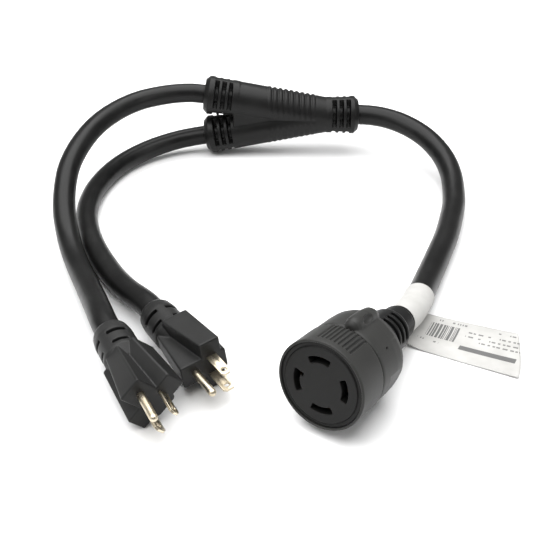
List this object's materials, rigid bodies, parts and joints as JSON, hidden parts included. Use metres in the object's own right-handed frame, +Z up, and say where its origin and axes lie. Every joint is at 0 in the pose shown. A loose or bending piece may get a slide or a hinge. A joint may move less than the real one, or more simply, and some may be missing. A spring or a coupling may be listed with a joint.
{
  "type": "generator y adapter cord",
  "caption": "Y-shaped power adapter: a locking round receptacle on a trunk cord, a moulded splitter, and two legs ending in three-pin plugs.",
  "frame": {"origin": "centre of the footprint of the splitter, plugs and receptacle, on the surface they lie on", "axes": "+Z up; +Y from the plugs and the receptacle towards the splitter; +X from the plugs towards the receptacle"},
  "size_m": [0.3341, 0.4108, 0.0736],
  "materials": {
    "overmould": "satin moulded vinyl",
    "cord_jacket": "smooth satin jacket",
    "receptacle_shell": "fine textured",
    "receptacle_face": "satin",
    "inner_plastic": "satin",
    "plated_metal": "nickel plated",
    "contact_metal": "bright",
    "paper": "matte coated"
  },
  "bodies": {
    "root": {"ground_joint": "contact_metal", "inner_leg_cord": "cord_jacket", "inner_leg_wires": "inner_plastic", "left_plug_blade_carrier": "inner_plastic", "left_plug_ground_pin": "plated_metal", "left_plug_line_blade": "plated_metal", "left_plug_neutral_blade": "plated_metal", "left_plug_overmould": "overmould", "left_plug_wires": "inner_plastic", "line_1_joint": "contact_metal", "line_2_joint": "contact_metal", "neutral_joint": "contact_metal", "outer_leg_cord": "cord_jacket", "outer_leg_wires": "inner_plastic", "paper_label": "paper", "receptacle_boot": "overmould", "receptacle_contact_block": "inner_plastic", "receptacle_face": "receptacle_face", "receptacle_front_sleeve": "receptacle_shell", "receptacle_ground_contact": "contact_metal", "receptacle_line_1_contact": "contact_metal", "receptacle_line_2_contact": "contact_metal", "receptacle_neutral_contact": "contact_metal", "receptacle_rear_shell": "receptacle_shell", "receptacle_wire_block": "inner_plastic", "receptacle_wires": "inner_plastic", "right_plug_blade_carrier": "inner_plastic", "right_plug_ground_pin": "plated_metal", "right_plug_line_blade": "plated_metal", "right_plug_neutral_blade": "plated_metal", "right_plug_overmould": "overmould", "right_plug_wires": "inner_plastic", "splitter_inner_block": "inner_plastic", "splitter_overmould": "overmould", "trunk_cord": "cord_jacket", "trunk_wires": "inner_plastic"}
  },
  "joints": []
}
